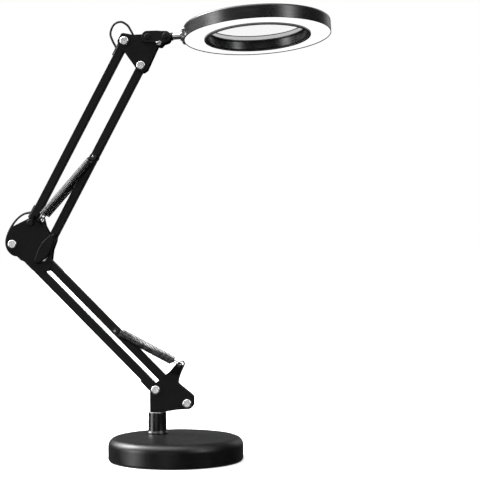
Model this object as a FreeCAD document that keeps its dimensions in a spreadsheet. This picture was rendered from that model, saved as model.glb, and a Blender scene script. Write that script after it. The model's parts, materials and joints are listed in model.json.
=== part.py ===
import FreeCAD, Part
import math
import os

from FreeCAD import Placement, Rotation, Vector

# Spring-balanced magnifying lamp on a round weighted base.
# Millimetres, +Z up, +X from the base towards the lamp head, +Y away from the front.
# Origin: centre of the non-slip pad's underside. The two arms fold in one plane, parallel to XZ.

DIMENSIONS = {
    # weighted base and the post that carries the swivel
    "base_radius": 88.5,
    "base_top": 30.0,
    "base_edge_round": 10.5,
    "shell_wall": 2.4,
    "pad_thick": 2.0,
    "cover_thick": 1.2,
    "weight_radius": 78.0,
    "weight_thick": 10.0,
    "stem_x": -28.6,
    "arm_plane": 33.0,
    "post_top": 58.0,
    "post_radius": 12.3,
    "pin_radius": 6.0,
    # arms: two parallel square tubes each
    "pivot_x": -29.8,
    "pivot_height": 88.5,
    "arm_length": 274.0,
    "lower_angle": 134.8,
    "upper_angle": 62.2,
    "tube_size": 11.0,
    "tube_wall": 1.0,
    "tube_corner": 1.2,
    # pressed brackets
    "plate_thick": 1.5,
    "plate_gap": 6.5,
    "lower_ear_flare": 31.7,
    "elbow_ear_flare": 55.0,
    # pivot fasteners
    "head_radius": 6.2,
    "head_thick": 3.0,
    "barrel_radius": 3.0,
    "screw_radius": 2.0,
    "washer_radius": 5.4,
    "washer_thick": 0.9,
    "running_gap": 0.05,
    # springs
    "coil_radius": 5.2,
    "wire_radius": 0.8,
    "coil_pitch": 2.0,
    "spring_offset": 11.2,
    "spring_pin_radius": 1.5,
    "lower_pin_along": 136.0,
    "upper_pin_along": 136.5,
    "hook_hole": 2.4,
    "cable_radius": 1.5,
    # head
    "ring_radius": 98.5,
    "ring_height": 18.6,
    "ring_wall": 1.2,
    "inner_wall_radius": 68.0,
    "lens_radius": 65.8,
    "lens_surface": 400.0,
    "lens_edge": 4.6,
    "lens_mid": 6.1,
    "rod_radius": 4.25,
    "rod_slope": 3.4,
    "ring_roll": -4.8,
    "ring_offset": 122.4,
    "link_thick": 2.6,
}

doc = FreeCAD.newDocument("magnifying_lamp")
sheet = doc.addObject("Spreadsheet::Sheet", "dims")
for row, (alias, value) in enumerate(DIMENSIONS.items(), start=1):
    sheet.set("A%d" % row, alias)
    sheet.set("B%d" % row, str(value))
    sheet.setAlias("B%d" % row, alias)
doc.recompute()

Y_AXIS = Vector(0, 1, 0)
ALONG_Y = Rotation(Vector(1, 0, 0), -90)
SIDES = (("front", -1), ("back", 1))


def dim(alias):
    """A driving dimension, read from the sheet."""
    return float(sheet.get(alias))


# ---------------------------------------------------------------- helpers

subparts = []


def keep(label, obj):
    """Names a finished sub-part; its label becomes its file name."""
    obj.Label = label
    subparts.append(obj)
    return obj


def primitive(kind, placement, **sizes):
    """A Part primitive with its sizes bound to expressions."""
    obj = doc.addObject("Part::" + kind, kind.lower())
    for prop, expression in sizes.items():
        obj.setExpression(prop, str(expression))
    obj.Placement = placement
    return obj


def cut(base, *tools):
    for tool in tools:
        result = doc.addObject("Part::Cut", "cut")
        result.Base = base
        result.Tool = tool
        base = result
    return base


def fuse(*shapes):
    result = doc.addObject("Part::MultiFuse", "fuse")
    result.Shapes = list(shapes)
    return result


def common(*shapes):
    result = doc.addObject("Part::MultiCommon", "common")
    result.Shapes = list(shapes)
    return result


def group(*shapes):
    """Several separate solids that share one sub-part, such as identical screws."""
    result = doc.addObject("Part::Compound", "group")
    result.Links = list(shapes)
    return result


def round_edges(base, radius, chooses):
    """Fillets the edges whose centre of mass satisfies a test."""
    doc.recompute()
    chosen = [i for i, edge in enumerate(base.Shape.Edges, start=1) if chooses(edge)]
    result = doc.addObject("Part::Fillet", "fillet")
    result.Base = base
    result.Edges = [(i, radius, radius) for i in chosen]
    return result


def rounded_outline(corners):
    """Closed outline of lines and tangent arcs through (x, z, rounding radius) corners."""
    points = [Vector(x, z, 0) for x, z, _ in corners]
    count = len(points)
    joins = []
    for i, (x, z, radius) in enumerate(corners):
        here = points[i]
        back = points[i - 1] - here
        ahead = points[(i + 1) % count] - here
        half = back.getAngle(ahead) / 2
        reach = min(radius / math.tan(half), 0.49 * back.Length, 0.49 * ahead.Length)
        back.normalize()
        ahead.normalize()
        start = here + back * reach
        end = here + ahead * reach
        bisector = (back + ahead).normalize()
        centre_distance = reach / math.cos(half)
        arc_radius = reach * math.tan(half)
        middle = here + bisector * (centre_distance - arc_radius)
        joins.append((start, middle, end))
    edges = []
    for i, (start, middle, end) in enumerate(joins):
        following = joins[(i + 1) % count][0]
        if start.distanceToPoint(end) > 0.001:
            edges.append(Part.Arc(start, middle, end))
        if end.distanceToPoint(following) > 0.001:
            edges.append(Part.LineSegment(end, following))
    return edges


def circle(x, z, radius):
    return Part.Circle(Vector(x, z, 0), Vector(0, 0, 1), radius)


def new_body(name, placement=Placement()):
    body = doc.addObject("PartDesign::Body", name)
    body.Placement = placement
    return body


def sketch_on(body, role, geometry):
    plane = [f for f in body.Origin.OriginFeatures if f.Role == role][0]
    sketch = body.newObject("Sketcher::SketchObject", "profile")
    sketch.AttachmentSupport = [(plane, "")]
    sketch.MapMode = "FlatFace"
    sketch.addGeometry(geometry)
    return sketch


def padded(geometry, thickness, placement, role="XZ_Plane", symmetric=False):
    """A flat profile given a thickness. On XZ_Plane it grows towards -Y."""
    body = new_body("plate", placement)
    sketch = sketch_on(body, role, geometry)
    pad = body.newObject("PartDesign::Pad", "pad")
    pad.Profile = sketch
    pad.setExpression("Length", thickness)
    if symmetric:
        pad.SideType = "Symmetric"
    return body


def turned(corners, placement=Placement()):
    """A profile in the XZ plane revolved about Z."""
    body = new_body("turned", placement)
    sketch = sketch_on(body, "XZ_Plane", rounded_outline(corners))
    turn = body.newObject("PartDesign::Revolution", "revolution")
    turn.Profile = sketch
    turn.ReferenceAxis = (sketch, ["V_Axis"])
    turn.Angle = 360
    return body


def wire_solid(points, radius):
    """Round wire or cable along a smooth curve through points; its shape is set in code."""
    curve = Part.BSplineCurve()
    curve.interpolate(points)
    path = Part.Wire([curve.toShape()])
    start = points[0]
    tangent = curve.tangent(curve.FirstParameter)[0]
    disc = Part.Wire([Part.Circle(start, tangent, radius).toShape()])
    feature = doc.addObject("Part::Feature", "wire")
    feature.Shape = path.makePipeShell([disc], True, False)
    return feature


def bar_frame(pivot, angle):
    """Frame of an arm: X along the tube from its lower pivot, Z to its outer side, Y as ever."""
    return Placement(pivot, Rotation(Y_AXIS, -angle))


def shift(x=0.0, y=0.0, z=0.0, rotation=Rotation()):
    return Placement(Vector(x, y, z), rotation)


def about_z(angle):
    return shift(rotation=Rotation(Vector(0, 0, 1), angle))


def rod_y(point, low, high, radius):
    """Cylinder along Y from low to high, measured from the arm plane; radius is an expression."""
    length = high - low
    place = Placement(Vector(point.x, arm_y + low, point.z), ALONG_Y)
    return primitive("Cylinder", place, Radius=radius, Height=length)


# ---------------------------------------------------------------- pivots

arm_y = dim("arm_plane")
reach = dim("arm_length")
lower_angle = dim("lower_angle")
upper_angle = dim("upper_angle")

# Each pivot triangle below is rigid, so the pairs of tubes stay parallel.
BASE_LINK = Vector(42.0, 0, -18.0)
ELBOW_LINK = Vector(22.3, 0, -33.1)
ELBOW_RISE = Vector(24.2, 0, 29.1)
TILT_PIVOT = Vector(31.7, 0, 5.3)
SWIVEL_PIVOT = Vector(55.6, 0, 5.9)


def polar(length, angle):
    return Vector(length * math.cos(math.radians(angle)), 0, length * math.sin(math.radians(angle)))


base_a = Vector(dim("pivot_x"), arm_y, dim("pivot_height"))
base_b = base_a + BASE_LINK
elbow_a = base_a + polar(reach, lower_angle)
elbow_b = base_b + polar(reach, lower_angle)
elbow_c = elbow_a + ELBOW_RISE
elbow_d = elbow_c + ELBOW_LINK
top_c = elbow_c + polar(reach, upper_angle)
top_d = elbow_d + polar(reach, upper_angle)
tilt_pivot = top_c + TILT_PIVOT
swivel_pivot = top_c + SWIVEL_PIVOT

frame_a = bar_frame(base_a, lower_angle)
frame_b = bar_frame(base_b, lower_angle)
frame_c = bar_frame(elbow_c, upper_angle)
frame_d = bar_frame(elbow_d, upper_angle)

lower_hook_point = base_a + Vector(32.2, 0, 33.3)
upper_hook_point = elbow_a + Vector(36.0, 0, 33.0)
lower_pin_point = frame_b.multVec(Vector(dim("lower_pin_along"), 0, 0))
upper_pin_point = frame_d.multVec(Vector(dim("upper_pin_along"), 0, 0))

plate_inner = dim("plate_gap")
plate_outer = plate_inner + dim("plate_thick")


# ---------------------------------------------------------------- base

def base_parts():
    radius = dim("base_radius")
    top = dim("base_top")
    low = dim("pad_thick")
    wall = dim("shell_wall")
    cover_top = low + dim("cover_thick")
    edge = dim("base_edge_round")
    post_place = shift(dim("stem_x"), arm_y, 0)
    stud_radius = 9.0
    stud_bottom = 15.0

    shell = turned([
        (0, top, 0), (radius, top, edge), (radius, low, 0.8),
        (radius - wall, low, 0.3), (radius - wall, top - wall, edge - wall), (0, top - wall, 0),
    ])
    post_hole = primitive("Cylinder", post_place, Radius=stud_radius, Height=top + 5)
    keep("base_shell", cut(shell, post_hole))

    screw_spots = [about_z(45 + 90 * i) * shift(x=62) for i in range(4)]
    weight = primitive("Cylinder", shift(z=cover_top), Radius="dims.weight_radius",
                       Height="dims.weight_thick")
    shank_holes = [primitive("Cylinder", spot, Radius=2.0, Height=12) for spot in screw_spots]
    soft_weight = round_edges(weight, 1.5, lambda e: e.CenterOfMass.z > cover_top + 1)
    keep("base_weight", cut(soft_weight, *shank_holes))

    cover = primitive("Cylinder", shift(z=low), Radius="dims.base_radius - dims.shell_wall - 0.1",
                      Height="dims.cover_thick")
    cover_holes = [primitive("Cylinder", spot, Radius=2.0, Height=12) for spot in screw_spots]
    keep("base_cover", cut(cover, *cover_holes))

    pad = primitive("Cylinder", Placement(), Radius="dims.base_radius - 1.5", Height="dims.pad_thick")
    head_holes = [primitive("Cylinder", spot, Radius=4.4, Height=3) for spot in screw_spots]
    keep("non_slip_pad", round_edges(cut(pad, *head_holes), 0.4,
                                     lambda e: e.BoundBox.XLength > 100 and e.CenterOfMass.z < 0.1))

    screws = []
    for spot in screw_spots:
        head = primitive("Cylinder", spot * shift(z=0.5), Radius=4.0, Height=low - 0.5)
        shank = primitive("Cylinder", spot * shift(z=low - 0.2), Radius=2.0, Height=9)
        slot = primitive("Box", spot * shift(-4.5, -0.5, 0), Length=9, Width=1, Height=1)
        screws.append(cut(fuse(head, shank), slot))
    keep("base_cover_screws", group(*screws))

    # Hollow post: flared foot on the shell, threaded stud below it, cup for the swivel flange on top.
    post_radius = dim("post_radius")
    post_top = dim("post_top")
    bore = dim("pin_radius") + dim("running_gap")
    keep("stem_post", turned([
        (bore, stud_bottom, 0.3), (stud_radius, stud_bottom, 0.8), (stud_radius, top, 0),
        (14.0, top, 0.3), (14.0, top + 1.4, 0.8), (post_radius, top + 4.2, 2.5),
        (post_radius - 0.4, post_top, 0.7), (10.4, post_top, 0.5), (10.4, post_top - 6, 0.3),
        (bore, post_top - 6, 0.4),
    ], post_place))
    nut_place = shift(dim("stem_x"), arm_y, top - wall - 6)
    nut = primitive("Prism", nut_place, Circumradius=14.5, Height=6)
    nut_hole = primitive("Cylinder", nut_place, Radius=stud_radius, Height=6)
    keep("post_nut", cut(nut, nut_hole))


# ---------------------------------------------------------------- pivot fasteners

def button_head(point, side):
    """Domed head with a cross recess, lying on a bracket's outer face; side -1 faces the front."""
    face = Vector(point.x, arm_y + side * plate_outer, point.z)
    outward = Rotation(Vector(1, 0, 0), 90 if side < 0 else -90)
    spin = Placement(face, outward)
    head = primitive("Cylinder", spin, Radius="dims.head_radius", Height="dims.head_thick")
    tip = dim("head_thick")
    domed = round_edges(head, 2.1, lambda e: e.BoundBox.YLength < 0.01 and
                        abs(e.CenterOfMass.y - face.y) > tip / 2)
    slots = [primitive("Box", spin * about_z(turn) * shift(-3.1, -0.55, tip - 1.2),
                       Length=6.2, Width=1.1, Height=2)
             for turn in (25, 115)]
    return cut(domed, *slots)


def pivot_set(name, points):
    """Screw from the front into a sleeved barrel from the back, with a washer on each side of the tube."""
    screws, barrels, washers = [], [], []
    gap = dim("running_gap")
    for point in points:
        shank = rod_y(point, -plate_outer, 2.0, "dims.screw_radius")
        screws.append(fuse(button_head(point, -1), shank))
        sleeve = rod_y(point, -plate_outer + 0.1, plate_outer, "dims.barrel_radius")
        bore = rod_y(point, -plate_outer, 2.0, "dims.screw_radius")
        barrels.append(cut(fuse(button_head(point, 1), sleeve), bore))
        for low in (plate_inner - dim("washer_thick") - gap, -plate_inner + gap):
            ring = rod_y(point, low, low + dim("washer_thick"), "dims.washer_radius")
            hole = rod_y(point, low - 1, low + 2, "dims.barrel_radius + dims.running_gap")
            washers.append(cut(ring, hole))
    keep(name + "_pivot_screws", group(*screws))
    keep(name + "_pivot_barrels", group(*barrels))
    keep(name + "_pivot_washers", group(*washers))


# ---------------------------------------------------------------- brackets

def bracket_plate(origin, outline, holes, side):
    """Flat pressed plate; holes are (x, z, radius) from the same origin."""
    face = arm_y - plate_inner if side < 0 else arm_y + plate_outer
    geometry = rounded_outline(outline) + [circle(*hole) for hole in holes]
    return padded(geometry, "dims.plate_thick", Placement(Vector(origin.x, face, origin.z), Rotation()))


def flared_ear(origin, outline, bend_from, bend_to, flare, hook, side):
    """Tab bent outwards along a line, holed for the spring hook."""
    deep = 24
    face = arm_y + side * plate_inner
    start_y = face if side < 0 else face + deep
    prism = padded(rounded_outline(outline), str(deep), shift(origin.x, start_y, origin.z))
    along = bend_to - bend_from
    slope = math.degrees(math.atan2(along.z, along.x))
    line = Placement(Vector(origin.x + bend_from.x, face, origin.z + bend_from.z), Rotation(Y_AXIS, -slope))
    tilt = shift(rotation=Rotation(Vector(1, 0, 0), -side * flare))
    low = 0 if side > 0 else -dim("plate_thick")
    sheet_metal = primitive("Box", line * tilt * shift(-15, low, -0.4),
                            Length=60, Width="dims.plate_thick", Height=40)
    hole = rod_y(hook, -30 if side < 0 else 0, 0 if side < 0 else 30, "dims.hook_hole")
    return cut(common(prism, sheet_metal), hole)


def turret_parts():
    """Everything that turns on the base post and carries the two lower pivots."""
    stem = Vector(dim("stem_x"), arm_y, 0)
    post_top = dim("post_top")
    tang_top = 76.0
    pin = turned([
        (0, 17, 0), (dim("pin_radius"), 17, 1), (dim("pin_radius"), post_top - 5.9, 0.2),
        (10.0, post_top - 5.9, 0.5), (10.0, post_top + 0.6, 0.6), (0, post_top + 0.6, 0),
    ], Placement(stem, Rotation()))
    tang_half = 6.5
    tang = primitive("Box", shift(stem.x - tang_half, arm_y - plate_inner, post_top + 0.4),
                     Length=2 * tang_half, Width="2 * dims.plate_gap", Height=tang_top - post_top - 0.4)
    rivet_points = [Vector(stem.x + dx, arm_y, z) for dx, z in ((-3.2, 64.0), (2.6, 71.0))]
    holes = [rod_y(p, -10, 10, 1.6) for p in rivet_points]
    keep("stem_pin", cut(fuse(pin, tang), *holes))
    keep("lower_bracket_rivets", group(*[rod_y(p, -plate_outer - 0.25, plate_outer + 0.25, 1.6)
                                         for p in rivet_points]))

    bottom = post_top + 0.8 - base_a.z
    flat = [
        (-7.8, bottom, 1.5), (9.0, bottom, 3), (27.0, -26.6, 8), (50.2, -25.0, 7), (50.6, -8.6, 6.5),
        (41.5, -1.4, 8), (28.9, 8.8, 2.5), (31.9, 20.0, 0.8), (18.0, 24.0, 0.8), (6.1, 14.2, 4),
        (-1.0, 8.4, 6), (-7.8, 3.0, 6),
    ]
    ear = [(31.6, 18.5, 0.3), (34.6, 26.5, 6), (37.4, 33.0, 4), (34.2, 38.8, 3.4), (28.2, 35.0, 4),
           (17.4, 23.2, 0.3)]
    pivot_hole = dim("barrel_radius")
    holes = [(0, 0, pivot_hole), (BASE_LINK.x, BASE_LINK.z, pivot_hole)]
    holes += [(p.x - base_a.x, p.z - base_a.z, 1.6) for p in rivet_points]
    for side_name, side in SIDES:
        plate = bracket_plate(base_a, flat, holes, side)
        tab = flared_ear(base_a, ear, Vector(17.4, 0, 23.8), Vector(32.2, 0, 19.6),
                         dim("lower_ear_flare"), lower_hook_point, side)
        keep("lower_bracket_" + side_name, fuse(plate, tab))
    pivot_set("lower", (base_a, base_b))


def elbow_parts():
    flat = [
        (-9.6, 3.0, 6), (-6.8, 14.0, 8), (-2.0, 23.2, 5), (20.0, 34.0, 6), (27.4, 37.4, 1), (28.6, 33.6, 0.5),
        (44.2, 24.4, 0.8), (50.6, 12.6, 6), (54.6, -2.0, 8), (52.4, -20.0, 7), (51.0, -35.0, 5),
        (41.0, -37.0, 6), (27.0, -27.0, 10), (14.6, -22.4, 4), (-2.4, -10.0, 6), (-9.0, -4.0, 5),
    ]
    ear = [(28.0, 33.4, 0.3), (29.6, 39.2, 2.5), (38.6, 36.6, 4), (44.0, 24.0, 0.3)]
    pivot_hole = dim("barrel_radius")
    links = [Vector(), BASE_LINK, ELBOW_RISE, ELBOW_RISE + ELBOW_LINK]
    holes = [(v.x, v.z, pivot_hole) for v in links]
    cheek = [(59.4, 15.0, 2), (57.6, 4.0, 10), (51.6, -12.0, 8), (46.4, -19.2, 1.2), (38.4, -24.6, 1),
             (33.6, -26.8, 2.5), (30.2, -22.0, 3), (34.6, -8.0, 14), (41.0, 3.0, 8), (50.0, 11.4, 6)]
    cheek_high = 4.6
    cheeks = []
    for side_name, side in SIDES:
        plate = bracket_plate(elbow_a, flat, holes, side)
        tab = flared_ear(elbow_a, ear, Vector(28.0, 0, 33.7), Vector(44.6, 0, 24.0),
                         dim("elbow_ear_flare"), upper_hook_point, side)
        keep("elbow_plate_" + side_name, fuse(plate, tab))
        face_y = arm_y - plate_outer if side < 0 else arm_y + plate_outer + cheek_high
        cover = padded(rounded_outline(cheek), str(cheek_high),
                       Placement(Vector(elbow_a.x, face_y, elbow_a.z), Rotation()))
        crown = arm_y + side * (plate_outer + cheek_high)
        soft = round_edges(cover, 1.8, lambda e: abs(e.CenterOfMass.y - crown) < 0.01)
        room = 3.4
        low = plate_outer if side > 0 else -plate_outer - room
        cheeks.append(cut(soft, *[rod_y(p, low, low + room, 6.6) for p in (elbow_b, elbow_d)]))
    keep("elbow_cheeks", group(*cheeks))
    pivot_set("elbow", (elbow_a, elbow_b, elbow_d))

    shaft = rod_y(elbow_c, -plate_outer, plate_outer, "dims.barrel_radius")
    ends = []
    for _, side in SIDES:
        low = plate_outer if side > 0 else -plate_outer - 1.8
        end = rod_y(elbow_c, low, low + 1.8, 4.6)
        crown = arm_y + side * (plate_outer + 1.8)
        ends.append(round_edges(end, 1.2, lambda e: e.BoundBox.YLength < 0.01 and
                                abs(e.CenterOfMass.y - crown) < 0.01))
    keep("elbow_rivet", fuse(shaft, *ends))


def top_bracket_parts():
    flat = [
        (-10.0, -0.6, 5), (-3.6, 11.4, 3.5), (5.6, 9.8, 4), (10.6, 8.4, 4), (24.0, 9.0, 6), (33.0, 12.6, 5),
        (39.6, 6.0, 6), (45.6, -5.6, 4), (30.2, -38.6, 3.5), (25.0, -42.0, 3.5), (18.0, -40.6, 5),
        (13.0, -32.6, 4),
    ]
    pivot_hole = dim("barrel_radius")
    holes = [(0, 0, pivot_hole), (ELBOW_LINK.x, ELBOW_LINK.z, pivot_hole), (TILT_PIVOT.x, TILT_PIVOT.z, 2.55)]
    for side_name, side in SIDES:
        keep("head_bracket_" + side_name, bracket_plate(top_c, flat, holes, side))
    pivot_set("head", (top_c, top_d))


# ---------------------------------------------------------------- arms

GLAND_AT = 14.0  # distance of a cable gland from the nearer pivot
PORT_AT = 20.0  # where the cable leaves the tube's centre line, slanting out through the gland
CABLE_PORT = "dims.cable_radius + 0.5"


def cable_port(frame, along):
    """Slanted hole through one wall, leaning towards the nearer end of the tube."""
    lean = -45 if along < dim("arm_length") / 2 else 45
    place = frame * shift(along, 0, 0, Rotation(Y_AXIS, lean))
    return primitive("Cylinder", place, Radius=CABLE_PORT, Height=20)


def cable_ends():
    """Distances along a tube of the two places where its cable leaves."""
    return PORT_AT, dim("arm_length") - PORT_AT


def tube(name, frame, extra_bores=(), cable_ports=()):
    """Square tube with rounded ends; extra bores are distances along it for the spring pin."""
    size = dim("tube_size")
    half = size / 2
    hollow = half - dim("tube_wall")
    corner = dim("tube_corner")

    def square(reach_out, rounding):
        return rounded_outline([(reach_out, reach_out, rounding), (-reach_out, reach_out, rounding),
                                (-reach_out, -reach_out, rounding), (reach_out, -reach_out, rounding)])

    outline = square(half, corner) + square(hollow, corner - 0.7)
    walls = padded(outline, "dims.arm_length + dims.tube_size", frame * shift(x=-half), role="YZ_Plane")
    length = dim("arm_length")
    slot = [
        Part.LineSegment(Vector(0, -half, 0), Vector(length, -half, 0)),
        Part.Arc(Vector(length, -half, 0), Vector(length + half, 0, 0), Vector(length, half, 0)),
        Part.LineSegment(Vector(length, half, 0), Vector(0, half, 0)),
        Part.Arc(Vector(0, half, 0), Vector(-half, 0, 0), Vector(0, -half, 0)),
    ]
    envelope = padded(slot, "dims.tube_size + 2", frame, symmetric=True)
    bores = [primitive("Cylinder", frame * shift(x, -10, 0, ALONG_Y), Radius=radius, Height=20)
             for x, radius in [(0, "dims.barrel_radius + dims.running_gap"),
                               (length, "dims.barrel_radius + dims.running_gap")] + list(extra_bores)]
    ports = [cable_port(frame, along) for along in cable_ports]
    keep(name, cut(common(walls, envelope), *(bores + ports)))


def glands(name, frame):
    """Moulded shoes where the cable passes through the tube wall, one near each end."""
    half = dim("tube_size") / 2
    length = dim("arm_length")
    shoes = []
    for middle, port_at in zip((GLAND_AT, length - GLAND_AT), cable_ends()):
        outline = rounded_outline([(-9.5, -3.6, 2.4), (9.5, -3.6, 2.4), (9.5, 3.6, 2.4), (-9.5, 3.6, 2.4)])
        shoe = padded(outline, "2.2", frame * shift(middle, 0, half), role="XY_Plane")
        place = frame * shift(middle, 0, half)
        crown = place.multVec(Vector(0, 0, 2.2))
        outward = place.Rotation.multVec(Vector(0, 0, 1))
        soft = round_edges(shoe, 1.0, lambda e: abs((e.CenterOfMass - crown).dot(outward)) < 0.01)
        shoes.append(cut(soft, cable_port(frame, port_at)))
    keep(name, group(*shoes))


def cable_run(name, frame):
    """Straight length of cable inside the tube, from port to port."""
    clear = PORT_AT + 1.6
    place = frame * shift(clear, 0, 0, Rotation(Y_AXIS, 90))
    keep(name, primitive("Cylinder", place, Radius="dims.cable_radius",
                         Height="dims.arm_length - %s" % (2 * clear)))


def spring_pin(prefix, point):
    """Cross pin for a pair of springs, its inner spacers and outer washers."""
    eye_at = dim("spring_offset")
    eye_half = dim("wire_radius") + 0.1
    tip = eye_at + eye_half + 3.2
    keep(prefix + "_spring_pin", round_edges(rod_y(point, -tip, tip, "dims.spring_pin_radius"), 0.5,
                                             lambda e: e.BoundBox.YLength < 0.01))
    rings = []
    spacer = (dim("tube_size") / 2 + dim("running_gap"), eye_at - eye_half, 3.2)
    washer = (eye_at + eye_half, eye_at + eye_half + 2.0, 4.4)
    for low, high, radius in (spacer, washer):
        for _, side in SIDES:
            start = low if side > 0 else -high
            ring = rod_y(point, start, start + high - low, radius)
            hole = rod_y(point, start - 1, start + high - low + 1, "dims.spring_pin_radius")
            rings.append(cut(ring, hole))
    keep(prefix + "_spring_washers", group(*rings))


# A longer helix sweeps less accurately, so a coil is joined from lengths of this many turns.
SWEPT_TURNS = 12


def springs(pin, hook, coil_stop):
    """Pair of close-wound springs. The coil hangs on the bar's pin; a straight hook slides in its far end."""
    wire = dim("wire_radius")
    mean = dim("coil_radius") - wire
    to_hook = hook - pin
    span = to_hook.Length
    slope = math.degrees(math.atan2(to_hook.z, to_hook.x))
    coil_start = 6.5
    eye = dim("spring_pin_radius") + wire + 0.15
    coils, hooks = [], []
    pitch = dim("coil_pitch")
    turns = int((span - coil_stop - coil_start) / pitch)
    lead = Vector(0, 2 * math.pi * mean, pitch)
    section = Part.Wire([Part.Circle(Vector(mean, 0, 0), lead, wire).toShape()])
    lengths = [min(SWEPT_TURNS, turns - done) for done in range(0, turns, SWEPT_TURNS)]
    pieces = []
    for i, count in enumerate(lengths):
        helix = Part.makeHelix(pitch, pitch * count, mean)
        swept = Part.Wire(helix.Edges).makePipeShell([section], True, True)
        swept.translate(Vector(0, 0, pitch * SWEPT_TURNS * i))
        pieces.append(swept)
    # The end eye goes round the pin, and its sloping shank joins the first turn.
    pieces.append(Part.makeTorus(eye, wire, Vector(0, 0, -coil_start), Vector(0, 1, 0)))
    rise = Vector(mean - eye, 0, coil_start)
    pieces.append(Part.makeCylinder(wire, rise.Length + 0.1, Vector(eye, 0, -coil_start), rise))
    spring = pieces[0].fuse(pieces[1:])
    for _, side in SIDES:
        y = arm_y + side * dim("spring_offset")
        frame = bar_frame(Vector(pin.x, y, pin.z), slope)
        coil = doc.addObject("Part::Feature", "coil")
        coil.Shape = spring
        coil.Placement = frame * shift(coil_start, 0, 0, Rotation(Y_AXIS, 90))
        coils.append(coil)
        wire_y = side * 6.0
        path = [Vector(span - coil_stop - 8, 0, 0), Vector(span - coil_stop, 0, 0), Vector(span - 5, 0, 0),
                Vector(span - 2.2, wire_y * 0.06, 0), Vector(span - 0.6, wire_y * 0.25, 0),
                Vector(span, wire_y * 0.5, 0), Vector(span, wire_y, 0)]
        hooks.append(wire_solid([frame.multVec(p) for p in path], wire))
    return coils, hooks


def arm_parts():
    pin_bore = "dims.spring_pin_radius + dims.running_gap"
    for prefix, outer, inner, along, inner_bar in (
            ("lower", frame_a, frame_b, "lower_pin_along", "lower_tube_b"),
            ("upper", frame_c, frame_d, "upper_pin_along", "upper_tube_d")):
        outer_bar = {"lower": "lower_tube_a", "upper": "upper_tube_c"}[prefix]
        tube(outer_bar, outer, cable_ports=cable_ends())
        glands(prefix + "_cable_glands", outer)
        cable_run(prefix + "_cable_run", outer)
        tube(inner_bar, inner, extra_bores=[(dim(along), pin_bore)])
    spring_pin("lower", lower_pin_point)
    spring_pin("upper", upper_pin_point)
    for prefix, pin, hook, stop in (("lower", lower_pin_point, lower_hook_point, 20.0),
                                    ("upper", upper_pin_point, upper_hook_point, 19.0)):
        coils, hooks = springs(pin, hook, stop)
        keep(prefix + "_spring_coils", group(*coils))
        keep(prefix + "_spring_hooks", group(*hooks))


def cable_loops():
    """Slack loops of cable past the elbow and over the top joint, in the plane of the arms."""
    length = dim("arm_length")
    radius = dim("cable_radius")

    def leaving(frame, towards_end):
        """Straight slanting start of a loop, from inside the tube to just outside its gland."""
        steps = [(PORT_AT - d, d) for d in (0.0, 3.0, 6.0, 9.0)]
        return [frame.multVec(Vector(length - x if towards_end else x, 0, out)) for x, out in steps]

    elbow = leaving(frame_a, True)
    elbow += [elbow_a + Vector(x, 0, z) for x, z in
              ((-4.4, -12.8), (-8.8, -8.0), (-10.7, -1.0), (-10.2, 6.5), (-8.0, 14.0), (-4.0, 22.5),
               (1.6, 31.0), (7.4, 37.0), (14.0, 41.2))]
    elbow += reversed(leaving(frame_c, False))
    keep("elbow_cable", wire_solid(elbow, radius))

    top = leaving(frame_c, True)
    top += [top_c + Vector(x, 0, z) for x, z in
            ((-17.0, 2.0), (-19.9, 12.0), (-15.4, 23.4), (-6.0, 27.3), (3.0, 22.6), (7.9, 15.0), (11.6, 8.0),
             (17.0, 0.0), (21.0, -8.0))]
    keep("top_cable", wire_solid(top, radius))


# ---------------------------------------------------------------- head joint

rod_slope = dim("rod_slope")
rolled = Rotation(Vector(1, 0, 0), dim("ring_roll"))
head_frame = Placement(swivel_pivot, Rotation(Y_AXIS, -rod_slope)) * shift(dim("ring_offset"), 0, 0, rolled)


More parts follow.
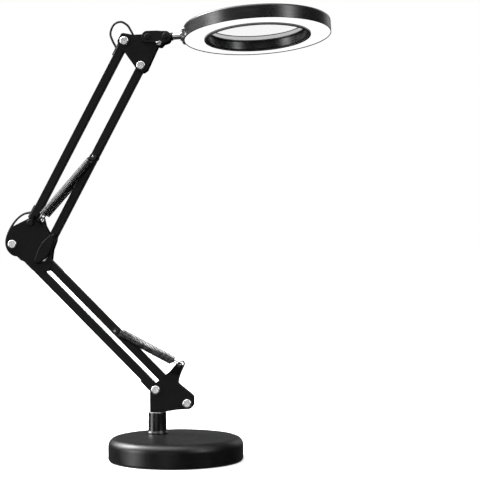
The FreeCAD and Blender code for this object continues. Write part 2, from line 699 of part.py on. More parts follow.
def fork_parts():
    """Fork that straddles the head bracket and tips the ring up and down, with its bolts."""
    thick = dim("link_thick")
    clear = plate_outer + 0.25
    span = SWIVEL_PIVOT - TILT_PIVOT
    outline = [(-8.0, 7.6, 7), (12, 8.0, 3), (19.0, 7.4, 5), (span.x + 6.2, 6.6 + span.z, 6),
               (span.x + 6.2, -6.6 + span.z, 6), (20.5, -9.0, 5), (18.0, -13.0, 3.5), (12.8, -12.4, 3.5),
               (10.5, -8.6, 3), (-8.0, -7.6, 7)]
    clamp_at = Vector(15.9, 0, -9.3)
    cheeks = []
    for _, side in SIDES:
        face = arm_y - clear if side < 0 else arm_y + clear + thick
        geometry = rounded_outline(outline)
        geometry += [circle(0, 0, 2.5), circle(span.x, span.z, 2.5)]
        if side < 0:
            geometry.append(circle(clamp_at.x, clamp_at.z, 1.6))
        place = Placement(Vector(tilt_pivot.x, face, tilt_pivot.z), Rotation())
        cheek = padded(geometry, "dims.link_thick", place)
        crown = arm_y + side * (clear + thick)
        cheeks.append(round_edges(cheek, 0.7, lambda e: abs(e.CenterOfMass.y - crown) < 0.01))
    bridge = primitive("Box", shift(tilt_pivot.x + 14.0, arm_y - clear - 0.5, tilt_pivot.z + 5.0),
                       Length=4.4, Width=2 * clear + 1, Height=2.4)
    keep("tilt_fork", fuse(cheeks[0], cheeks[1], bridge))

    bolts = []
    for point in (tilt_pivot, swivel_pivot):
        shaft = rod_y(point, -clear - thick, clear + thick, 2.5)
        ends = [shaft]
        for _, side in SIDES:
            low = clear + thick if side > 0 else -clear - thick - 1.6
            crown = arm_y + side * (clear + thick + 1.6)
            end = rod_y(point, low, low + 1.6, 4.2)
            ends.append(round_edges(end, 1.1, lambda e: e.BoundBox.YLength < 0.01 and
                                    abs(e.CenterOfMass.y - crown) < 0.01))
        bolts.append(fuse(*ends))
    keep("fork_bolts", group(*bolts))

    # Clamp screw through the front cheek, with a wire ring to turn it by.
    clamp = tilt_pivot + clamp_at
    shaft = rod_y(clamp, -clear - thick - 3.2, -clear, 1.55)
    collar = rod_y(clamp, -clear - thick - 3.2, -clear - thick - 0.1, 3.0)
    front = arm_y - clear - thick - 3.2
    ring = primitive("Torus", shift(clamp.x, front - 2.4, clamp.z), Radius1=3.6, Radius2=0.75)
    keep("clamp_screw", fuse(shaft, collar, ring))


def swivel_parts():
    """Eye between the fork's cheeks, and the chrome rod that the ring rolls on."""
    frame = Placement(swivel_pivot, Rotation(Y_AXIS, -rod_slope))
    inner = plate_outer
    hub = rod_y(swivel_pivot, -inner, inner, 5.8)
    neck = primitive("Cylinder", frame * shift(rotation=Rotation(Y_AXIS, 90)), Radius=5.4, Height=9.0)
    bolt_hole = rod_y(swivel_pivot, -inner - 1, inner + 1, 2.55)
    rod_hole = primitive("Cylinder", frame * shift(2.9, 0, 0, Rotation(Y_AXIS, 90)),
                         Radius="dims.rod_radius + dims.running_gap", Height=12)
    keep("swivel_eye", cut(fuse(hub, neck), bolt_hole, rod_hole))

    start = 3.2
    outside = dim("ring_offset") - dim("ring_radius")
    end = outside + dim("ring_wall") + 3.0
    rod = primitive("Cylinder", frame * shift(start, 0, 0, Rotation(Y_AXIS, 90)), Radius="dims.rod_radius",
                    Height=end - start)
    keep("head_rod", round_edges(rod, 0.5, lambda e: e.Length < 2 * math.pi * 5))


# ---------------------------------------------------------------- ring head

def ring_parts():
    outer = dim("ring_radius")
    wall = dim("ring_wall")
    half = dim("ring_height") / 2
    inner = dim("inner_wall_radius")
    lens_radius = dim("lens_radius")
    lens_mid = dim("lens_mid")
    lens_half = dim("lens_edge") / 2
    surface = dim("lens_surface")

    def sag(radius):
        """Depth of the lens's spherical face at a distance from its axis."""
        return surface - math.sqrt(surface ** 2 - radius ** 2)

    lip = lens_radius - 1.6
    seat = lens_mid + lens_half + sag(lens_radius) - sag(lip) + dim("running_gap")
    rod_back = shift(-outer - 10, 0, 0, Rotation(Y_AXIS, 90))
    screw_angle = 6.6

    housing = turned([
        (outer, -half, 0.5), (outer, half, 3.2), (lip, half, 0.2),
        (lip, seat, 0.1), (lens_radius + 0.1, seat, 0),
        (lens_radius + 0.1, -half, 0.4), (inner, -half, 0.4), (inner, half - wall, 0),
        (outer - wall, half - wall, 2.0), (outer - wall, -half, 0.4),
    ], head_frame)
    rod_hole = primitive("Cylinder", head_frame * rod_back, Radius="dims.rod_radius", Height=20)
    screw_turns = (-screw_angle, screw_angle)
    screw_holes = [primitive("Cylinder", head_frame * about_z(turn) * rod_back, Radius=1.5, Height=20)
                   for turn in screw_turns]
    keep("head_housing", cut(housing, rod_hole, *screw_holes))

    bezel_low = -half - 1.7
    keep("front_bezel", turned([
        (inner, bezel_low, 0.6), (inner, -half + 2.6, 0.3), (inner + 3.4, -half + 2.6, 0.4),
        (inner + 3.4, bezel_low, 1.0),
    ], head_frame))
    keep("diffuser", turned([
        (inner + 3.4, -half + 1.0, 0.2), (inner + 3.4, -half + 2.8, 0.2), (outer - wall, -half + 2.8, 0.2),
        (outer - wall, -half + 1.0, 0.2),
    ], head_frame))

    board_top = half - wall
    keep("led_board", turned([(74, board_top - 1.6, 0), (74, board_top, 0), (93, board_top, 0),
                              (93, board_top - 1.6, 0)], head_frame))
    chips = []
    chip_count = 45
    for i in range(chip_count):
        place = head_frame * about_z(360.0 * i / chip_count) * shift(81.5, -2.5, board_top - 2.6)
        chips.append(primitive("Box", place, Length=5, Width=5, Height=1))
    keep("led_chips", group(*chips))

    # Biconvex glass: two spherical faces on a cylindrical edge.
    bulge = sag(lens_radius)
    lens_low = lens_mid - lens_half
    disc = primitive("Cylinder", head_frame * shift(z=lens_low - bulge), Radius="dims.lens_radius",
                     Height="dims.lens_edge + %s" % (2 * bulge))
    centre_offset = surface - lens_half - bulge
    balls = [primitive("Sphere", head_frame * shift(z=lens_mid + way * centre_offset),
                       Radius="dims.lens_surface")
             for way in (-1, 1)]
    keep("lens", common(disc, *balls))
    keep("lens_retainer", turned([
        (lens_radius - 1.5, lens_low - 2.6, 0.5), (lens_radius - 1.5, lens_low - 0.35, 0.2),
        (lens_radius - 0.5, lens_low - 0.2, 0.1), (lens_radius + 0.1, lens_low - 0.1, 0),
        (lens_radius + 0.1, lens_low - 2.6, 0),
    ], head_frame))

    # Curved saddle that carries the rod on the ring's wall, held by two screws.
    saddle_thick = 2.6
    sleeve = primitive("Cylinder", head_frame * shift(z=-half + 0.4), Radius=outer + saddle_thick,
                       Height=2 * half - 0.8)
    core = primitive("Cylinder", head_frame * shift(z=-half - 1), Radius=outer, Height=2 * half + 2)
    patch = padded(rounded_outline([(-16, -half + 0.4, 4), (16, -half + 0.4, 4), (16, half - 0.4, 4),
                                    (-16, half - 0.4, 4)]),
                   "30", head_frame * shift(-outer - 20, 0, 0), role="YZ_Plane")
    shell = common(cut(sleeve, core), patch)
    boss = primitive("Cylinder", head_frame * shift(-outer - saddle_thick - 2.2, 0, 0, Rotation(Y_AXIS, 90)),
                     Radius=6.4, Height=3.4)
    saddle_holes = [primitive("Cylinder", head_frame * rod_back, Radius="dims.rod_radius", Height=20)]
    saddle_holes += [primitive("Cylinder", head_frame * about_z(turn) * rod_back, Radius=1.5, Height=20)
                     for turn in screw_turns]
    keep("saddle", cut(fuse(shell, cut(boss, core)), *saddle_holes))
    screws = []
    for turn in screw_turns:
        spin = head_frame * about_z(turn)
        shank = primitive("Cylinder", spin * shift(-outer - saddle_thick - 0.2, 0, 0, Rotation(Y_AXIS, 90)),
                          Radius=1.5, Height=saddle_thick + 4.2)
        head = primitive("Cylinder", spin * shift(-outer - saddle_thick - 1.5, 0, 0, Rotation(Y_AXIS, 90)),
                         Radius=2.9, Height=1.5)
        slot = primitive("Box", spin * shift(-outer - saddle_thick - 1.6, -0.4, -4),
                         Length=0.8, Width=0.8, Height=8)
        screws.append(cut(fuse(head, shank), slot))
    keep("saddle_screws", group(*screws))


base_parts()
turret_parts()
arm_parts()
elbow_parts()
top_bracket_parts()
cable_loops()
fork_parts()
swivel_parts()
ring_parts()
doc.recompute()

faults = [o.Label for o in doc.Objects if "Invalid" in o.State or "Error" in o.State]
faults += [s.Label for s in subparts if s.Shape.isNull() or not s.Shape.isValid() or not s.Shape.Solids]
if faults:
    raise RuntimeError("not built: " + ", ".join(faults))

os.makedirs("parts", exist_ok=True)
for subpart in subparts:
    subpart.Shape.exportStep("parts/%s.step" % subpart.Label)
    print(subpart.Label, len(subpart.Shape.Solids), round(subpart.Shape.Volume, 1))
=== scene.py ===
import json
import math

import bmesh
import bpy
from mathutils import Matrix, Quaternion, Vector


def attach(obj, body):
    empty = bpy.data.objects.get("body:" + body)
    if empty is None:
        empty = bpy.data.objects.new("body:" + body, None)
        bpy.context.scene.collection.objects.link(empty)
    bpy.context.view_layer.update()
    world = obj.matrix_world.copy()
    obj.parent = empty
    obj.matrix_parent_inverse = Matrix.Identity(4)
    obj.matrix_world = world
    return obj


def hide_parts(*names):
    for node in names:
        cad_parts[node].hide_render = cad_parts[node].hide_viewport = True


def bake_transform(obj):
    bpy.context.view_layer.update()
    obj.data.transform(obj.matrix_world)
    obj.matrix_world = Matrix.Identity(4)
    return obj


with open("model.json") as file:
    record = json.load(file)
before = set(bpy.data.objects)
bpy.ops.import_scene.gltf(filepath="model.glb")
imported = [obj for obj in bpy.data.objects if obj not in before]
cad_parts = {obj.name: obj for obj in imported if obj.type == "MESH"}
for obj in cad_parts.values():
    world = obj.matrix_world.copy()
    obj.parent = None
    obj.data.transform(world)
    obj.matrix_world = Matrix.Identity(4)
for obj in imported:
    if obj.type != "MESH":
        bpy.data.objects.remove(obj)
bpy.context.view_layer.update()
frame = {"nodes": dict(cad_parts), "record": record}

NODES = frame["nodes"]
MM = 0.001

# ------------------------------------------------------------------ places on the frame, at rest

ARM_PLANE = 33.0
REACH = 274.0 * MM
LOWER_ANGLE = math.radians(134.8)
UPPER_ANGLE = math.radians(62.2)


def spot(x, z, y=ARM_PLANE):
    """A place given in millimetres, in the middle plane of the arms unless y says otherwise."""
    return Vector((x * MM, y * MM, z * MM))


def along(length, angle):
    """A step of that length up an arm leaning at that angle."""
    return Vector((length * math.cos(angle), 0, length * math.sin(angle)))


BASE_A = spot(-29.8, 88.5)
LOWER_LINK = spot(42.0, -18.0, 0)
UPPER_LINK = spot(22.3, -33.1, 0)
BASE_B = BASE_A + LOWER_LINK
ELBOW_A = BASE_A + along(REACH, LOWER_ANGLE)
ELBOW_C = ELBOW_A + spot(24.2, 29.1, 0)
ELBOW_D = ELBOW_C + UPPER_LINK
TOP_C = ELBOW_C + along(REACH, UPPER_ANGLE)
ROD_SLOPE = math.radians(3.4)
RING_ROLL = math.radians(-4.8)
HEAD_TURN = Matrix.Rotation(-ROD_SLOPE, 3, "Y") @ Matrix.Rotation(RING_ROLL, 3, "X")
HEAD_UP = HEAD_TURN @ Vector((0, 0, 1))
LOWER_HOOK = BASE_A + spot(32.2, 33.3, 0)
UPPER_HOOK = ELBOW_A + spot(36.0, 33.0, 0)
LOWER_PIN_ALONG = 136.0 * MM
UPPER_PIN_ALONG = 136.5 * MM
LOWER_PIN = BASE_B + along(LOWER_PIN_ALONG, LOWER_ANGLE)
UPPER_PIN = ELBOW_D + along(UPPER_PIN_ALONG, UPPER_ANGLE)

# ------------------------------------------------------------------ material building blocks


class Look:
    """A procedural material on a Principled shader, with short helpers for its detail."""

    def __init__(self, name):
        self.material = bpy.data.materials.new(name)
        self.material.use_nodes = True
        self.tree = self.material.node_tree
        self.shader = self.tree.nodes["Principled BSDF"]
        self.coords = self.tree.nodes.new("ShaderNodeTexCoord")

    def link(self, source, target):
        self.tree.links.new(source, target)

    def set(self, **values):
        for key, value in values.items():
            socket = self.shader.inputs[key.replace("_", " ")]
            colour = isinstance(value, tuple) and len(value) == 3
            socket.default_value = (*value, 1.0) if colour else value
        return self

    def mapped(self, scale=(1, 1, 1), rotation=(0, 0, 0)):
        node = self.tree.nodes.new("ShaderNodeMapping")
        node.inputs["Scale"].default_value = scale
        node.inputs["Rotation"].default_value = rotation
        self.link(self.coords.outputs["Object"], node.inputs["Vector"])
        return node.outputs["Vector"]

    def noise(self, size, detail=4.0, rough=0.55, vector=None):
        """Noise whose features are about size millimetres across."""
        node = self.tree.nodes.new("ShaderNodeTexNoise")
        node.inputs["Scale"].default_value = 1000.0 / size
        node.inputs["Detail"].default_value = detail
        node.inputs["Roughness"].default_value = rough
        self.link(vector or self.coords.outputs["Object"], node.inputs["Vector"])
        return node.outputs["Fac"]

    def ramp(self, source, low, high, start=0.35, end=0.65):
        """Spreads a 0 to 1 signal over the range low to high."""
        node = self.tree.nodes.new("ShaderNodeMapRange")
        node.inputs["From Min"].default_value = start
        node.inputs["From Max"].default_value = end
        node.inputs["To Min"].default_value = low
        node.inputs["To Max"].default_value = high
        self.link(source, node.inputs["Value"])
        return node.outputs["Result"]

    def rough(self, source, low, high, start=0.35, end=0.65):
        self.link(self.ramp(source, low, high, start, end), self.shader.inputs["Roughness"])
        return self

    def tint(self, source, dark, light, start=0.35, end=0.65):
        node = self.tree.nodes.new("ShaderNodeMix")
        node.data_type = "RGBA"
        node.inputs[6].default_value = (*dark, 1.0)
        node.inputs[7].default_value = (*light, 1.0)
        self.link(self.ramp(source, 0.0, 1.0, start, end), node.inputs[0])
        self.link(node.outputs[2], self.shader.inputs["Base Color"])
        return self

    def along_axis(self, vector):
        """How far a world vector points along the axis of the ring, whichever way the ring is turned."""
        local = self.tree.nodes.new("ShaderNodeVectorTransform")
        local.vector_type = "VECTOR"
        local.convert_from = "WORLD"
        local.convert_to = "OBJECT"
        self.link(vector, local.inputs["Vector"])
        dot = self.tree.nodes.new("ShaderNodeVectorMath")
        dot.operation = "DOT_PRODUCT"
        self.link(local.outputs["Vector"], dot.inputs[0])
        dot.inputs[1].default_value = HEAD_UP
        size = self.tree.nodes.new("ShaderNodeMath")
        size.operation = "ABSOLUTE"
        self.link(dot.outputs["Value"], size.inputs[0])
        return size.outputs[0]

    def mix_shaders(self, share, first, second):
        mix = self.tree.nodes.new("ShaderNodeMixShader")
        if isinstance(share, float):
            mix.inputs[0].default_value = share
        else:
            self.link(share, mix.inputs[0])
        self.link(first.outputs[0], mix.inputs[1])
        self.link(second.outputs[0], mix.inputs[2])
        return mix

    def bump(self, *layers, edge=0.0):
        """Height layers given as (signal, millimetres), on top of edges softened by edge millimetres."""
        normal = None
        if edge:
            bevel = self.tree.nodes.new("ShaderNodeBevel")
            bevel.samples = 4
            bevel.inputs["Radius"].default_value = edge * MM
            normal = bevel.outputs["Normal"]
        for source, height in layers:
            node = self.tree.nodes.new("ShaderNodeBump")
            node.inputs["Strength"].default_value = 1.0
            node.inputs["Distance"].default_value = height * MM
            self.link(source, node.inputs["Height"])
            if normal:
                self.link(normal, node.inputs["Normal"])
            normal = node.outputs["Normal"]
        self.link(normal, self.shader.inputs["Normal"])
        return self


def powder_coat(name, grain=0.9, low=0.34, high=0.46, shade=0.016, sheen=0.5):
    """Black powder coat: fine orange peel, faint handling wear."""
    look = Look(name).set(Specular_IOR_Level=sheen)
    peel = look.noise(grain, 3.0)
    wear = look.noise(18.0, 6.0, 0.7)
    look.tint(wear, (shade * 0.8, shade * 0.8, shade * 0.85), (shade * 1.5, shade * 1.5, shade * 1.55))
    look.rough(wear, low, high)
    return look.bump((peel, 0.03), edge=0.35).material


def polished(name, colour=(0.78, 0.78, 0.8), low=0.08, high=0.2):
    look = Look(name).set(Metallic=1.0)
    smear = look.noise(6.0, 5.0, 0.6)
    scratch = look.noise(0.35, 2.0, 0.5, look.mapped((1, 9, 1)))
    look.tint(smear, tuple(c * 0.93 for c in colour), colour)
    look.rough(smear, low, high)
    return look.bump((scratch, 0.003), edge=0.25).material


def moulded(name, colour, low=0.4, high=0.55, grain=0.5):
    look = Look(name)
    fine = look.noise(grain, 2.0)
    broad = look.noise(12.0, 4.0)
    look.tint(broad, tuple(c * 0.88 for c in colour), colour)
    look.rough(broad, low, high)
    return look.bump((fine, 0.012), edge=0.2).material


def brushed_ring(name):
    """Glossy black lacquer over turned metal: fine lines run round the ring."""
    look = Look(name).set(Metallic=0.55, Coat_Weight=0.35, Coat_Roughness=0.12)
    lines = look.noise(0.6, 3.0, 0.6, look.mapped((0.02, 0.02, 1.0), (0, ROD_SLOPE, 0)))
    broad = look.noise(25.0, 3.0)
    look.tint(lines, (0.02, 0.02, 0.021), (0.055, 0.055, 0.057))
    look.rough(broad, 0.26, 0.34)
    return look.bump((lines, 0.004), edge=0.3).material


def spring_wire(name):
    look = Look(name).set(Metallic=1.0)
    broad = look.noise(4.0, 5.0, 0.65)
    look.tint(broad, (0.05, 0.05, 0.052), (0.13, 0.13, 0.132))
    look.rough(broad, 0.2, 0.34)
    return look.bump((look.noise(0.3, 2.0), 0.004)).material


def opal(name):
    """Lit opal plastic: glows nearly evenly, a little brighter or dimmer in broad patches."""
    look = Look(name).set(Base_Color=(0.92, 0.93, 0.95), Roughness=0.35)
    glow = look.noise(40.0, 2.0)
    look.link(look.ramp(glow, 0.95, 1.1), look.shader.inputs["Emission Strength"])
    look.set(Emission_Color=(1.0, 1.0, 1.0))
    return look.bump((look.noise(1.2, 2.0), 0.01)).material


def clear_glass(name):
    """Polished lens, seen straight through at grazing angles, with a frosted rim that carries a painted
    glow in place of the diffuser's light.
    """
    look = Look(name)
    smudge = look.noise(14.0, 5.0, 0.6)
    ripple = look.tree.nodes.new("ShaderNodeBump")
    ripple.inputs["Distance"].default_value = 0.002 * MM
    look.link(look.noise(30.0, 1.0), ripple.inputs["Height"])
    clear = look.tree.nodes.new("ShaderNodeBsdfRefraction")
    clear.inputs["Color"].default_value = (0.98, 1.0, 0.99, 1.0)
    clear.inputs["IOR"].default_value = 1.5
    shine = look.tree.nodes.new("ShaderNodeBsdfGlossy")
    for layer in (clear, shine):
        look.link(ripple.outputs["Normal"], layer.inputs["Normal"])
        look.link(look.ramp(smudge, 0.0, 0.02, 0.5, 0.8), layer.inputs["Roughness"])
    straight = look.tree.nodes.new("ShaderNodeBsdfTransparent")
    # Painted glow: the frosted rim emits grey light, standing in for the diffuser's light that reaches it
    # through the glass.
    painted_rim_glow = look.tree.nodes.new("ShaderNodeEmission")
    look.link(look.ramp(look.noise(0.8, 3.0), 0.46, 0.6), painted_rim_glow.inputs["Strength"])
    geometry = look.tree.nodes.new("ShaderNodeNewGeometry")
    view_tilt = look.along_axis(geometry.outputs["Incoming"])
    face_tilt = look.along_axis(geometry.outputs["True Normal"])
    through = look.mix_shaders(look.ramp(view_tilt, 1.0, 0.0, 0.3, 0.5), clear, straight)
    glass = look.mix_shaders(0.04, through, shine)
    surface = look.mix_shaders(look.ramp(face_tilt, 1.0, 0.0, 0.3, 0.31), glass, painted_rim_glow)
    look.link(surface.outputs[0], look.tree.nodes["Material Output"].inputs["Surface"])
    return look.material


def cast(name):
    look = Look(name).set(Metallic=0.7)
    broad = look.noise(5.0, 6.0, 0.7)
    look.tint(broad, (0.08, 0.08, 0.085), (0.2, 0.2, 0.2))
    look.rough(broad, 0.55, 0.8)
    return look.bump((broad, 0.25)).material


def board(name):
    look = Look(name)
    tracks = look.noise(3.0, 1.0, 0.2)
    look.tint(tracks, (0.7, 0.72, 0.7), (0.86, 0.87, 0.85), 0.48, 0.52)
    look.rough(tracks, 0.3, 0.45)
    return look.bump((tracks, 0.03)).material


LOOKS = {
    "base_enamel": powder_coat("base_enamel", 0.55, 0.3, 0.4, 0.004, 0.45),
    "post_black": powder_coat("post_black", 1.6, 0.2, 0.3, 0.005, 0.6),
    "cast_weight": cast("cast_weight"),
    "pad_rubber": moulded("pad_rubber", (0.035, 0.035, 0.036), 0.7, 0.9, 0.8),
    "zinc_steel": polished("zinc_steel", (0.6, 0.61, 0.62), 0.28, 0.42),
    "bracket_black": powder_coat("bracket_black", 0.8, 0.34, 0.46, 0.007, 0.22),
    "tube_black": powder_coat("tube_black", 1.0, 0.28, 0.4, 0.006, 0.25),
    "chrome_fasteners": polished("chrome_fasteners", (0.88, 0.88, 0.89), 0.14, 0.28),
    "nylon": moulded("nylon", (0.72, 0.71, 0.67)),
    "black_washer": moulded("black_washer", (0.02, 0.02, 0.021)),
    "spring_steel": spring_wire("spring_steel"),
    "gland_black": moulded("gland_black", (0.022, 0.022, 0.024), 0.35, 0.5),
    "cable_black": moulded("cable_black", (0.014, 0.014, 0.015), 0.32, 0.45),
    "fork_black": powder_coat("fork_black", 0.9, 0.28, 0.4, 0.007, 0.3),
    "ring_black": brushed_ring("ring_black"),
    "bezel_grey": moulded("bezel_grey", (0.16, 0.16, 0.165), 0.35, 0.5),
    "opal_diffuser": opal("opal_diffuser"),
    "circuit_board": board("circuit_board"),
    "led": moulded("led", (0.9, 0.82, 0.45), 0.2, 0.3),
    "lens_glass": clear_glass("lens_glass"),
}

record_slots = {s["node"]: s["material_slot"] for s in frame["record"]["subparts"]}
for name, obj in NODES.items():
    obj.data.materials.clear()
    obj.data.materials.append(LOOKS[record_slots[name]])


# ------------------------------------------------------------------ round cable and wire

ACROSS = Vector((0, 1, 0))


def tube_along(name, path, radius, sides, sideways):
    """A closed round tube along a path; sideways(travel) is the side on which each ring starts."""
    mesh = bmesh.new()
    rings = []
    for i, centre in enumerate(path):
        travel = (path[min(i + 1, len(path) - 1)] - path[max(i - 1, 0)]).normalized()
        first = sideways(travel)
        second = first.cross(travel).normalized()
        rings.append([mesh.verts.new(centre + radius * (math.cos(a) * first + math.sin(a) * second))
                      for a in (2 * math.pi * k / sides for k in range(sides))])
    for near, far in zip(rings, rings[1:]):
        for k in range(sides):
            mesh.faces.new((near[k], near[(k + 1) % sides], far[(k + 1) % sides], far[k]))
    mesh.faces.new(list(reversed(rings[0])))
    mesh.faces.new(rings[-1])
    bmesh.ops.recalc_face_normals(mesh, faces=mesh.faces)
    data = bpy.data.meshes.new(name)
    mesh.to_mesh(data)
    mesh.free()
    data.shade_smooth()
    obj = bpy.data.objects.new(name, data)
    bpy.context.scene.collection.objects.link(obj)
    return obj


# ------------------------------------------------------------------ cables

CABLE_RADIUS = 1.5 * MM
CABLE_SIDES = 20
CABLE_SAMPLES = 14
# A loop starts inside its tube, PORT_AT millimetres from the pivot, and slants out in these steps.
PORT_AT = 20.0
PORT_STEPS = (0.0, 3.0, 6.0, 9.0)


def cable(name, points):
    """A round cable along a smooth curve through points."""
    path = []
    padded = [points[0] * 2 - points[1], *points, points[-1] * 2 - points[-2]]
    for i in range(1, len(padded) - 2):
        p0, p1, p2, p3 = padded[i - 1:i + 3]
        for k in range(CABLE_SAMPLES):
            t = k / CABLE_SAMPLES
            path.append(0.5 * ((2 * p1) + (p2 - p0) * t + (2 * p0 - 5 * p1 + 4 * p2 - p3) * t * t
                               + (3 * p1 - p0 - 3 * p2 + p3) * t ** 3))
    path.append(points[-1])
    return tube_along(name, path, CABLE_RADIUS, CABLE_SIDES,
                      lambda travel: travel.cross(ACROSS).normalized())


def port(pivot, angle, distance, out):
    """A point on the outer side of a tube, distance from its pivot along it."""
    return pivot + along(distance, angle) + along(out, angle + math.pi / 2)


def leaving(pivot, angle, way):
    """Straight slanting start of a loop, from inside the tube to outside its gland."""
    return [port(pivot, angle, way * (PORT_AT - step) * MM, step * MM) for step in PORT_STEPS]


elbow_points = leaving(ELBOW_A, LOWER_ANGLE, -1)
elbow_points += [ELBOW_A + spot(x, z, 0) for x, z in (
    (-3.2, -11.8), (-7.6, -6.8), (-9.9, -0.6), (-10.0, 6.5), (-8.0, 14.0),
    (-4.0, 22.5), (1.6, 31.0), (7.4, 37.0), (14.0, 41.2))]
elbow_points += list(reversed(leaving(ELBOW_C, UPPER_ANGLE, 1)))
# At which point the elbow loop is cut in two.
MIDDLE = 8
lower_cable = cable("elbow_cable_lower", elbow_points[:MIDDLE + 1])
upper_cable = cable("elbow_cable_upper", elbow_points[MIDDLE:])
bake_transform(lower_cable)
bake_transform(upper_cable)
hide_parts("elbow_cable")

top_points = leaving(TOP_C, UPPER_ANGLE, -1)
top_points += [TOP_C + spot(x, z, 0) for x, z in (
    (-17.0, 2.0), (-19.9, 12.0), (-15.4, 23.4), (-6.0, 27.3), (3.0, 22.6),
    (7.9, 15.0), (11.6, 8.0), (17.0, 0.0), (21.0, -8.0))]
top_cable = cable("top_cable_loop", top_points)
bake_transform(top_cable)
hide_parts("top_cable")
for piece in (lower_cable, upper_cable, top_cable):
    piece.data.materials.append(LOOKS["cable_black"])


# ------------------------------------------------------------------ spring tails

WIRE = 0.8 * MM
WIRE_SIDES = 10
COIL_MEAN = 4.4 * MM
COIL_PITCH = 2.0 * MM
COIL_START = 6.5 * MM
SPRING_Y = 11.2 * MM
OVERLAP_TURNS = 1.0
TURN_STEPS = 24
CLOSING_STEPS = 6
CLOSING_REACH = 1.2 * MM
NEARLY_PARALLEL = 0.01


def coil_tail(name, pin, hook, side, body, coil_stop, leave):
    """The last turns of a spring, from the end of its rigid coil, which is coil_stop short of the hook, to
    leave short of the hook. They ride with the hook and do not stretch: they overlap the coil by about one
    turn at rest, and part from it where the arm moves the hook further away."""
    span = (hook - pin).length
    ahead = (hook - pin).normalized()
    upward = ACROSS.cross(ahead).normalized()
    turns_before = int((span - coil_stop - COIL_START) / COIL_PITCH)
    begin = COIL_START + (turns_before - OVERLAP_TURNS) * COIL_PITCH
    end = span - leave
    foot = pin + ACROSS * side * SPRING_Y
    path = []
    for i in range(int((end - begin) / COIL_PITCH * TURN_STEPS) + 1):
        turn = 2 * math.pi * i / TURN_STEPS
        reach = begin + COIL_PITCH * i / TURN_STEPS
        path.append(foot + ahead * reach + COIL_MEAN * (math.cos(turn) * upward + math.sin(turn) * ACROSS))
    # The last turn closes in on the axis, where the hook's wire begins.
    last = path[-1]
    for k in range(1, CLOSING_STEPS + 1):
        path.append(last.lerp(foot + ahead * (end + CLOSING_REACH), k / CLOSING_STEPS))

    def sideways(travel):
        out = travel.cross(ahead)
        return out.normalized() if out.length > NEARLY_PARALLEL else upward

    tail = tube_along(name, path, WIRE, WIRE_SIDES, sideways)
    tail.data.materials.append(LOOKS["spring_steel"])
    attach(tail, body)


for side_name, side in (("front", -1), ("back", 1)):
    coil_tail("lower_spring_tail_" + side_name, LOWER_PIN, LOWER_HOOK, side, "lower_hook",
              coil_stop=20 * MM, leave=11 * MM)
    coil_tail("upper_spring_tail_" + side_name, UPPER_PIN, UPPER_HOOK, side, "upper_hook",
              coil_stop=19 * MM, leave=9 * MM)


# ------------------------------------------------------------------ stage, lights and camera

FLOOR_SIZE = 60.0
FLOOR_GAP = 0.5 * MM
bpy.ops.mesh.primitive_plane_add(size=FLOOR_SIZE, location=(0, 0, -FLOOR_GAP))
floor = bpy.context.object
floor.name = "floor"


def seen_by_camera(tree, to_camera, to_others):
    """One shader for the camera, also through glass, and another for reflections and bounced light."""
    path = tree.nodes.new("ShaderNodeLightPath")
    either = tree.nodes.new("ShaderNodeMath")
    either.operation = "MAXIMUM"
    tree.links.new(path.outputs["Is Camera Ray"], either.inputs[0])
    tree.links.new(path.outputs["Is Transmission Ray"], either.inputs[1])
    mix = tree.nodes.new("ShaderNodeMixShader")
    tree.links.new(either.outputs[0], mix.inputs[0])
    tree.links.new(to_others, mix.inputs[1])
    tree.links.new(to_camera, mix.inputs[2])
    return mix.outputs[0]


def math_node(tree, operation, first, second):
    node = tree.nodes.new("ShaderNodeMath")
    node.operation = operation
    for socket, value in zip(node.inputs, (first, second)):
        if isinstance(value, float):
            socket.default_value = value
        else:
            tree.links.new(value, socket)
    return node.outputs[0]


# Soft panels of light around the lamp, each given as azimuth from the camera's side, elevation,
# tightness and strength.
PANELS = (
    (-70, 3, 45.0, 9.0),
    (-66, 20, 90.0, 4.0),
    (-108, 42, 26.0, 30.0),
    (54, 22, 70.0, 6.5),
    (60, 50, 30.0, 2.5),
    (150, 20, 30.0, 0.9),
    (-174, 8, 12.0, 0.12),
    (0, 80, 5.0, 0.75),
    (-9, 0, 60.0, 1.2),
)
AMBIENT = 0.03


def panel_light(tree, direction):
    """Brightness of the panels seen in a direction."""
    light = AMBIENT
    for azimuth, elevation, tightness, strength in PANELS:
        az, el = math.radians(azimuth), math.radians(elevation)
        centre = (math.sin(az) * math.cos(el), -math.cos(az) * math.cos(el), math.sin(el))
        dot = tree.nodes.new("ShaderNodeVectorMath")
        dot.operation = "DOT_PRODUCT"
        tree.links.new(direction, dot.inputs[0])
        dot.inputs[1].default_value = centre
        facing = math_node(tree, "MAXIMUM", dot.outputs["Value"], 0.0)
        lobe = math_node(tree, "MULTIPLY", math_node(tree, "POWER", facing, tightness), strength)
        light = math_node(tree, "ADD", lobe, light)
    return light


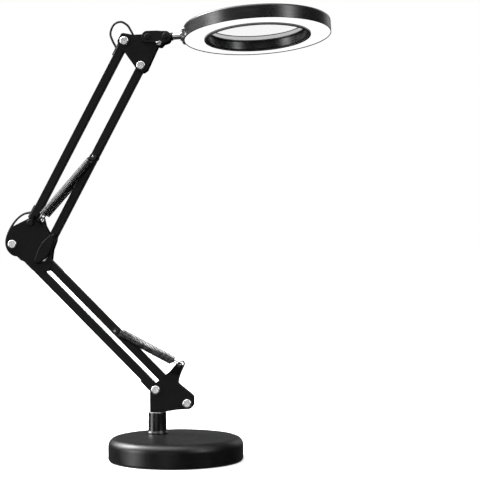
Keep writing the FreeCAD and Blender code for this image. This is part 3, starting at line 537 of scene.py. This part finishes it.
# The camera sees pale paper. Reflections and bounced light see the panels carried on below the horizon.
floor_look = Look("floor_paper").set(Specular_IOR_Level=0.0)
floor_look.set(Emission_Color=(1.0, 1.0, 1.0), Emission_Strength=0.5)
paper = floor_look.noise(3.0, 3.0)
floor_look.tint(paper, (0.9, 0.9, 0.9), (0.92, 0.92, 0.92)).rough(paper, 0.85, 0.95)
back = floor_look.tree.nodes.new("ShaderNodeVectorMath")
back.operation = "SCALE"
back.inputs["Scale"].default_value = -1.0
floor_look.link(floor_look.tree.nodes.new("ShaderNodeNewGeometry").outputs["Incoming"], back.inputs[0])
glow = floor_look.tree.nodes.new("ShaderNodeEmission")
floor_look.link(panel_light(floor_look.tree, back.outputs["Vector"]), glow.inputs["Strength"])
floor_look.link(seen_by_camera(floor_look.tree, floor_look.shader.outputs[0], glow.outputs[0]),
                floor_look.tree.nodes["Material Output"].inputs["Surface"])
floor.data.materials.append(floor_look.material)

world = bpy.data.worlds.new("studio")
bpy.context.scene.world = world
world.use_nodes = True
sky = world.node_tree
backdrop = sky.nodes["Background"]
backdrop.inputs["Color"].default_value = (1, 1, 1, 1)
surround = sky.nodes.new("ShaderNodeBackground")
surround.inputs["Color"].default_value = (1, 1, 1, 1)
sky.links.new(panel_light(sky, sky.nodes.new("ShaderNodeTexCoord").outputs["Generated"]),
              surround.inputs["Strength"])
sky.links.new(seen_by_camera(sky, backdrop.outputs[0], surround.outputs[0]),
              sky.nodes["World Output"].inputs["Surface"])


def aim(obj, place, target):
    bpy.context.scene.collection.objects.link(obj)
    obj.location = place
    obj.rotation_euler = (Vector(target) - Vector(place)).to_track_quat("-Z", "Y").to_euler()


SUN_PLACE = (-0.5, -0.45, 2.0)
SUN_ENERGY = 1.6
SUN_SPREAD = math.radians(50)
overhead = bpy.data.lights.new("overhead", "SUN")
overhead.energy = SUN_ENERGY
overhead.angle = SUN_SPREAD
aim(bpy.data.objects.new("overhead", overhead), SUN_PLACE, (0, 0, 0))

CAMERA_PLACE = (0.200, -1.750, 0.2628)
CAMERA_YAW = -0.0656
CAMERA_PITCH = 0.0143
CAMERA_ROLL = -0.0037
SENSOR_WIDTH = 36.0
FOCAL_LENGTH = 100.5
camera_data = bpy.data.cameras.new("camera")
camera_data.sensor_width = SENSOR_WIDTH
camera_data.lens = FOCAL_LENGTH
camera = bpy.data.objects.new("camera", camera_data)
bpy.context.scene.collection.objects.link(camera)
camera.location = CAMERA_PLACE
forward = Vector((math.sin(CAMERA_YAW) * math.cos(CAMERA_PITCH),
                  math.cos(CAMERA_YAW) * math.cos(CAMERA_PITCH),
                  math.sin(CAMERA_PITCH)))
camera.rotation_mode = "QUATERNION"
camera.rotation_quaternion = forward.to_track_quat("-Z", "Y") @ Quaternion((0, 0, 1), CAMERA_ROLL)
bpy.context.scene.camera = camera

bpy.context.scene.view_settings.view_transform = "Standard"
